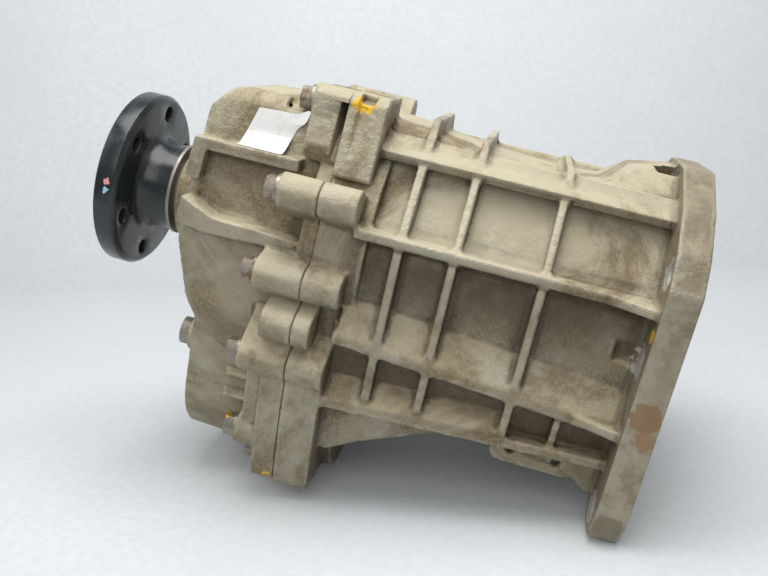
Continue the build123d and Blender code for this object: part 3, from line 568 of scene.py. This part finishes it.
flangePaint = {
    "black": (0.014, 0.018, 0.020),
    "smeared": (0.07, 0.08, 0.083),
    "specked": (0.3, 0.28, 0.24),
    "smears": (45.0, 6.0, 0.6, 0.5),
    "specks": (900.0, 2.0),
    "skin": (420.0, 3.0),
    "smearRange": (0.45, 0.75, 0.0, 0.35),
    "speckRange": (0.68, 0.74, 0.0, 0.5),
    "roughRange": (0.3, 0.75, 0.16, 0.4),
    "specular": 0.55,
    "bump": (0.12, 0.0004),
    "dabs": [
        {"centre": (-0.352, -0.0578, 0.006), "radius": 0.0016, "amount": 1.0, "colour": (0.8, 0.35, 0.33)},
        {"centre": (-0.352, -0.0578, 0.0005), "radius": 0.0016, "amount": 1.0, "colour": (0.35, 0.62, 0.75)},
    ],
}
steelLooks = {
    "groundSteel": {"colour": (0.56, 0.56, 0.56), "roughness": 0.3, "rust": 0.05},
    "dullSteel": {"colour": (0.34, 0.31, 0.27), "roughness": 0.5, "rust": 0.38},
}
steelFinish = {
    "smears": (120.0, 5.0),
    "smoother": 0.08,
    "rougher": 0.12,
    "skin": (600.0, 3.0),
    "bump": (0.1, 0.0003),
}
plainLooks = {
    "sealRubber": {
        "noise": (240.0, 5.0),
        "colours": ((0.02, 0.02, 0.02), (0.07, 0.065, 0.055)),
        "roughness": (0.55, 0.8),
        "bump": (0.2, 0.0004),
    },
    "frictionLining": {
        "noise": (900.0, 5.0),
        "colours": ((0.14, 0.09, 0.055), (0.34, 0.26, 0.18)),
        "roughness": (0.7, 0.95),
        "bump": (0.3, 0.0003),
    },
    "bareLabel": {
        "noise": (130.0, 6.0, 0.6, 0.3),
        "blend": (0.5, 0.75, 0.0, 0.5),
        "colours": ((0.80, 0.80, 0.78), (0.55, 0.51, 0.43)),
        "roughness": (0.35, 0.6),
        "bump": (0.15, 0.0004),
    },
}


def makeCastMaterial():
    material, tree, shader, place = newMaterial("castAluminium")
    dirtAndShade = placeGroup(
        tree,
        dirtAndShadeGroup,
        Vector=place,
        Proud=readMark(tree, "proud"),
        Sunken=readMark(tree, "sunken"),
        Upward=readMark(tree, "upward"),
    )
    colour = paint(tree, place, dirtAndShade.outputs["Colour"], castDabs)
    dress(tree, shader, colour, dirtAndShade.outputs["Roughness"], dirtAndShade.outputs["Metallic"])
    skin = placeGroup(tree, skinGroup, Vector=place)
    addBump(tree, shader, skin.outputs["Height"], *castFinish["bump"])
    return material


def makeBoltMaterial():
    material, tree, shader, place = newMaterial("rustyBolts")
    rust = placeGroup(tree, rustGroup, Vector=place, Amount=boltLook["rust"], Steel=boltLook["steel"])
    colour = paint(tree, place, rust.outputs["Colour"], boltLook["dabs"])
    dress(tree, shader, colour, rust.outputs["Roughness"], rust.outputs["Metallic"])
    addBump(tree, shader, rust.outputs["Height"], *boltLook["bump"])
    return material


def makeFlangeMaterial():
    look = flangePaint
    material, tree, shader, place = newMaterial("blackFlange")
    smears = noiseNode(tree, place, *look["smears"])
    specks = noiseNode(tree, place, *look["specks"])
    colour = mixColour(tree, rangeNode(tree, smears, *look["smearRange"]), look["black"], look["smeared"])
    colour = mixColour(tree, rangeNode(tree, specks, *look["speckRange"]), colour, look["specked"])
    colour = paint(tree, place, colour, look["dabs"])
    dress(tree, shader, colour, rangeNode(tree, smears, *look["roughRange"]))
    shader.inputs["Specular IOR Level"].default_value = look["specular"]
    addBump(tree, shader, noiseNode(tree, place, *look["skin"]), *look["bump"])
    return material


def makeSteelMaterial(name):
    look = steelLooks[name]
    material, tree, shader, place = newMaterial(name)
    rust = placeGroup(tree, rustGroup, Vector=place, Amount=look["rust"], Steel=look["colour"])
    smears = noiseNode(tree, place, *steelFinish["smears"])
    smoothest = look["roughness"] - steelFinish["smoother"]
    roughest = look["roughness"] + steelFinish["rougher"]
    rough = rangeNode(tree, smears, *noiseSpan, smoothest, roughest)
    dress(tree, shader, rust.outputs["Colour"], rough, rust.outputs["Metallic"])
    addBump(tree, shader, noiseNode(tree, place, *steelFinish["skin"]), *steelFinish["bump"])
    return material


def makePlainMaterial(name):
    look = plainLooks[name]
    material, tree, shader, place = newMaterial(name)
    worn = noiseNode(tree, place, *look["noise"])
    factor = rangeNode(tree, worn, *look["blend"]) if "blend" in look else worn
    rough = rangeNode(tree, worn, *noiseSpan, *look["roughness"])
    dress(tree, shader, mixColour(tree, factor, *look["colours"]), rough)
    addBump(tree, shader, worn, *look["bump"])
    return material


castMaterial = makeCastMaterial()
boltMaterial = makeBoltMaterial()
flangeMaterial = makeFlangeMaterial()
brightMaterial = makeSteelMaterial("groundSteel")
dullMaterial = makeSteelMaterial("dullSteel")
rubberMaterial = makePlainMaterial("sealRubber")
liningMaterial = makePlainMaterial("frictionLining")
labelMaterial = makePlainMaterial("bareLabel")
print("materials ready")


# forms added to or cut from the castings, as prisms between two sections across the shaft, in mm
def makePrism(form):
    rear = form["section"]
    front = form.get("frontSection", rear)
    bpy.ops.object.select_all(action="DESELECT")
    bpy.ops.mesh.primitive_cylinder_add(vertices=len(rear), location=(0, 0, 0))
    prism = bpy.context.object
    for number in range(len(rear)):
        prism.data.vertices[2 * number].co = Vector((form["from"], *rear[number])) * mm
        prism.data.vertices[2 * number + 1].co = Vector((form["to"], *front[number])) * mm
    bpy.ops.object.mode_set(mode="EDIT")
    bpy.ops.mesh.select_all(action="SELECT")
    bpy.ops.mesh.normals_make_consistent(inside=False)
    bpy.ops.object.mode_set(mode="OBJECT")
    return prism


def bothFlanks(form):
    far = dict(form)
    for key in ("section", "frontSection"):
        if key in form:
            far[key] = [(-y, z) for y, z in form[key]]
    return [form, far]


footSection = [(-88, -64), (-82, -100), (-73, -135), (-65, -156), (-40, -159), (-40, -90), (-60, -66)]
channelSection = [(-95, 87), (-46, 87), (-50, 75), (-66, 46), (-95, 46)]
sillRamp = {
    "from": -187, "section": [(-72, -18), (-74.5, -18), (-86, -41), (-86, -47), (-72, -47)],
    "to": -14, "frontSection": [(-72, -30), (-74.5, -30), (-86, -51), (-86, -57), (-72, -57)],
}
keelRamp = {
    "from": -187, "section": [(-68, -70), (-74, -70), (-83, -84), (-83, -89), (-68, -89)],
    "to": -78, "frontSection": [(-68, -64), (-74, -64), (-83, -74), (-83, -78), (-68, -78)],
}
lowPocketRib = {"from": -53, "to": -49, "section": [(-70, -56), (-84, -56), (-80, -79), (-70, -79)]}
addedForms = {
    "front_case": bothFlanks(sillRamp) + bothFlanks(keelRamp) + bothFlanks(lowPocketRib) + [
        {"from": -211, "to": -188, "section": footSection},
        {"from": -209, "to": -190, "section": [(-62, 50), (-68, 60), (-60, 88), (-40, 88), (-40, 60)]},
    ],
    "rear_case": [
        {"from": -226, "to": -211, "section": footSection},
        {"from": -231, "to": -211, "section": [(-60, 50), (-66, 60), (-59, 88), (-40, 88), (-40, 60)]},
        {"from": -253, "to": -236, "section": [(-46, 73.2), (-48.5, 64), (-27, 64), (-27, 73.2)]},
    ],
}
cutForms = {
    "front_case": [{"from": -212, "to": -200, "section": channelSection}],
    "rear_case": [{"from": -216, "to": -210, "section": channelSection}],
}

# castings
castings = {
    "front_case": {"voxel": 0.0012, "smoothing": 0.6, "rounds": 2, "most": 196000},
    "rear_case": {"voxel": 0.0011, "smoothing": 0.6, "rounds": 2, "most": 196000},
}
for nodeName, look in castings.items():
    casting = copyNode(nodeName, nodeName.replace("_", "") + "Casting")
    extras = [makePrism(form) for form in addedForms[nodeName]]
    pickOnly(casting, *extras)
    bpy.ops.object.join()
    useModifier(casting, "REMESH", mode="VOXEL", voxel_size=look["voxel"])
    for form in cutForms[nodeName]:
        cutter = makePrism(form)
        useModifier(casting, "BOOLEAN", operation="DIFFERENCE", solver="FAST", object=cutter)
        bpy.data.objects.remove(cutter)
    useModifier(casting, "SMOOTH", factor=look["smoothing"], iterations=look["rounds"])
    triangles = len(casting.data.polygons) * 2
    if triangles > look["most"]:
        useModifier(casting, "DECIMATE", ratio=look["most"] / triangles)
    smoothFaces(casting)
    casting.data.materials.append(castMaterial)
    markSurface(casting)
    handOver(casting, "housing", nodeName)
    print(casting.name, "faces", len(casting.data.polygons))

# the flange's hub runs into the disc with a hollow flare, given as stations and radii in mm
flareLook = {
    "from": -345.4,
    "to": -336.4,
    "margin": 0.05,
    "hub": 28.3,
    "sides": 128,
    "profile": [
        (-345.5, 35.2),
        (-344.7, 33.0),
        (-343.2, 31.4),
        (-340.8, 30.1),
        (-337.0, 29.2),
        (-332.0, 28.7),
        (-324.0, 28.6),
        (-323.98, 28.2),
    ],
}


def straightenHub(piece):
    first = flareLook["from"] + flareLook["margin"]
    last = flareLook["to"] - flareLook["margin"]
    for vertex in piece.data.vertices:
        station = vertex.co.x / mm
        radius = math.hypot(vertex.co.y, vertex.co.z) / mm
        if first < station < last and radius > flareLook["hub"]:
            vertex.co.y *= flareLook["hub"] / radius
            vertex.co.z *= flareLook["hub"] / radius


def addFlare(piece):
    rings = []
    profile = flareLook["profile"]
    for (rearX, rearRadius), (frontX, frontRadius) in zip(profile, profile[1:]):
        bpy.ops.object.select_all(action="DESELECT")
        bpy.ops.mesh.primitive_cone_add(
            vertices=flareLook["sides"],
            radius1=rearRadius * mm,
            radius2=frontRadius * mm,
            depth=(frontX - rearX) * mm,
            end_fill_type="NOTHING",
            location=(0, 0, 0),
        )
        ring = bpy.context.object
        middle = (rearX + frontX) / 2 * mm
        for vertex in ring.data.vertices:
            vertex.co = Vector((vertex.co.z + middle, vertex.co.x, vertex.co.y))
        rings.append(ring)
    pickOnly(piece, *rings)
    bpy.ops.object.join()
    mergePoints(piece)


# bolts, flange, plugs and nut: the CAD shape with softened edges
edgeLook = {"segments": 2, "bevelAbove": 32, "smoothBelow": 35}
softened = {
    "case_bolts": {"body": "housing", "slot": "bolt_steel", "bevel": 0.0005, "material": boltMaterial},
    "output_flange": {"body": "main", "slot": "black_flange", "bevel": 0.0006, "material": flangeMaterial},
    "filler_plug": {"body": "housing", "slot": "bolt_steel", "bevel": 0.0006, "material": dullMaterial},
    "drain_plug": {"body": "housing", "slot": "bolt_steel", "bevel": 0.0006, "material": dullMaterial},
    "flange_nut": {"body": "main", "slot": "bright_steel", "bevel": 0.0005, "material": brightMaterial},
}
for nodeName, look in softened.items():
    piece = copyNode(nodeName, nodeName.replace("_", "") + "Finished")
    if nodeName == "output_flange":
        straightenHub(piece)
    useModifier(
        piece,
        "BEVEL",
        width=look["bevel"],
        segments=edgeLook["segments"],
        limit_method="ANGLE",
        angle_limit=math.radians(edgeLook["bevelAbove"]),
    )
    if nodeName == "output_flange":
        addFlare(piece)
    pickOnly(piece)
    bpy.ops.object.shade_smooth_by_angle(angle=math.radians(edgeLook["smoothBelow"]))
    piece.data.materials.append(look["material"])
    handOver(piece, look["body"], nodeName)
    print(piece.name, "faces", len(piece.data.polygons))

# the inner and small nodes keep their CAD shape
nodeFinish = {
    "dust_shield": dullMaterial,
    "chain": dullMaterial,
    "clutch_coil": dullMaterial,
    "rear_seal": rubberMaterial,
    "input_seal": rubberMaterial,
    "front_output_seal": rubberMaterial,
    "friction_discs": liningMaterial,
}
for nodeName, node in nodes.items():
    if nodeName in castings or nodeName in softened:
        continue
    node.data.materials.clear()
    node.data.materials.append(nodeFinish.get(nodeName, brightMaterial))
print("nodes dressed")

# bare label on the near panel, with its corners from the upper left round to the lower left
labelLook = {
    "corners": [
        (-0.2675, -0.053, 0.0738),
        (-0.2368, -0.053, 0.0762),
        (-0.2459, -0.060, 0.0494),
        (-0.2745, -0.060, 0.0492),
    ],
    "cuts": 14,
    "stand": 0.00025,
    "smoothing": 0.5,
    "rounds": 6,
    "thickness": 0.0002,
}
bpy.ops.object.select_all(action="DESELECT")
bpy.ops.mesh.primitive_plane_add(size=1.0, location=(0, 0, 0))
label = bpy.context.object
label.name = "bareLabel"
corners = [Vector(corner) for corner in labelLook["corners"]]
order = {(-0.5, -0.5): 3, (0.5, -0.5): 2, (0.5, 0.5): 1, (-0.5, 0.5): 0}
for vertex in label.data.vertices:
    vertex.co = corners[order[(round(vertex.co.x, 1), round(vertex.co.y, 1))]]
bpy.ops.object.mode_set(mode="EDIT")
bpy.ops.mesh.select_all(action="SELECT")
bpy.ops.mesh.subdivide(number_cuts=labelLook["cuts"])
bpy.ops.object.mode_set(mode="OBJECT")
useModifier(
    label,
    "SHRINKWRAP",
    target=bpy.data.objects["rearcaseCasting"],
    wrap_method="NEAREST_SURFACEPOINT",
    wrap_mode="ABOVE_SURFACE",
    offset=labelLook["stand"],
)
useModifier(label, "SMOOTH", factor=labelLook["smoothing"], iterations=labelLook["rounds"])
useModifier(label, "SOLIDIFY", thickness=labelLook["thickness"], offset=1.0)
label.data.materials.append(labelMaterial)
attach(label, "housing")
print("label laid")

# camera, then the floor under the lowest point of the part, turned to the camera
bpy.ops.object.camera_add(
    location=cameraLook["place"],
    rotation=[math.radians(angle) for angle in cameraLook["turn"]],
)
camera = bpy.context.object
camera.data.lens = cameraLook["lens"]
camera.data.sensor_width = cameraLook["sensor"]
camera.data.clip_start = cameraLook["clip"]
bpy.context.scene.camera = camera
bpy.context.view_layer.update()

up = Vector(floorLook["up"]).normalized()
lowest = 1.0
for nodeName in ("front_case", "rear_case", "case_bolts", "output_flange"):
    for vertex in nodes[nodeName].data.vertices:
        lowest = min(lowest, vertex.co.dot(up))
sight = -camera.matrix_world.col[2].xyz
away = (sight - up * sight.dot(up)).normalized()
across = away.cross(up).normalized()
centre = Vector(floorLook["centre"])
centre = centre - up * (centre.dot(up) - lowest)
floorPlace = Matrix((across, away, up)).transposed().to_4x4()
floorPlace.translation = centre

# the sheet runs back, bends up and leans away behind the part
bpy.ops.object.select_all(action="DESELECT")
bpy.ops.mesh.primitive_plane_add(size=2.0, location=(0, 0, 0))
backdrop = bpy.context.object
backdrop.name = "backdrop"
for vertex in backdrop.data.vertices:
    vertex.co.x *= floorLook["halfWidth"]
    vertex.co.y = floorLook["backReach"] if vertex.co.y > 0 else -floorLook["frontReach"]
bpy.ops.object.mode_set(mode="EDIT")
shape = bmesh.from_edit_mesh(backdrop.data)
for vertex in shape.verts:
    vertex.select = False
for edge in shape.edges:
    edge.select = all(vertex.co.y > 0 for vertex in edge.verts)
shape.select_flush_mode()
bmesh.update_edit_mesh(backdrop.data)
rise = (0, floorLook["lean"], floorLook["height"])
bpy.ops.mesh.extrude_region_move(TRANSFORM_OT_translate={"value": rise})
shape = bmesh.from_edit_mesh(backdrop.data)
for edge in shape.edges:
    offLine = [abs(vertex.co.y - floorLook["backReach"]) for vertex in edge.verts]
    edge.select = max(offLine) < floorLook["onLine"]
shape.select_flush_mode()
bmesh.update_edit_mesh(backdrop.data)
bpy.ops.mesh.bevel(offset=floorLook["bend"], segments=floorLook["bendSegments"], affect="EDGES")
bpy.ops.object.mode_set(mode="OBJECT")
smoothFaces(backdrop)
backdrop.matrix_world = floorPlace


def shaded(colour, share):
    return tuple(part * share for part in colour)


sheetMaterial, tree, shader, place = newMaterial("paleSheet")
speckled = noiseNode(tree, place, *floorLook["speckles"])
cloudy = noiseNode(tree, place, *floorLook["clouds"])
specks = rangeNode(tree, speckled, *noiseSpan)
clouds = rangeNode(tree, cloudy, *noiseSpan, 0.0, floorLook["cloudAmount"])
sheet = floorLook["colour"]
sheetColour = mixColour(tree, specks, sheet, shaded(sheet, floorLook["speckShade"]))
sheetColour = mixColour(tree, clouds, sheetColour, shaded(sheet, floorLook["cloudShade"]))
dress(tree, shader, sheetColour, floorLook["roughness"])
addBump(tree, shader, speckled, *floorLook["bump"])
backdrop.data.materials.append(sheetMaterial)

# lights
for name, lamp in lamps.items():
    bpy.ops.object.light_add(type="AREA", location=lamp["place"])
    light = bpy.context.object
    light.name = name + "Lamp"
    light.data.shape = "SQUARE"
    light.data.size = lamp["size"]
    light.data.energy = lamp["power"]
    toward = Vector(lamp["aim"]) - Vector(lamp["place"])
    light.rotation_euler = toward.to_track_quat("-Z", "Y").to_euler()

world = bpy.context.scene.world or bpy.data.worlds.new("studio")
bpy.context.scene.world = world
world.use_nodes = True
background = world.node_tree.nodes["Background"]
background.inputs["Color"].default_value = (*worldLook["light"], 1.0)
background.inputs["Strength"].default_value = worldLook["strength"]
bpy.context.scene.view_settings.view_transform = "Standard"
print("stage ready")
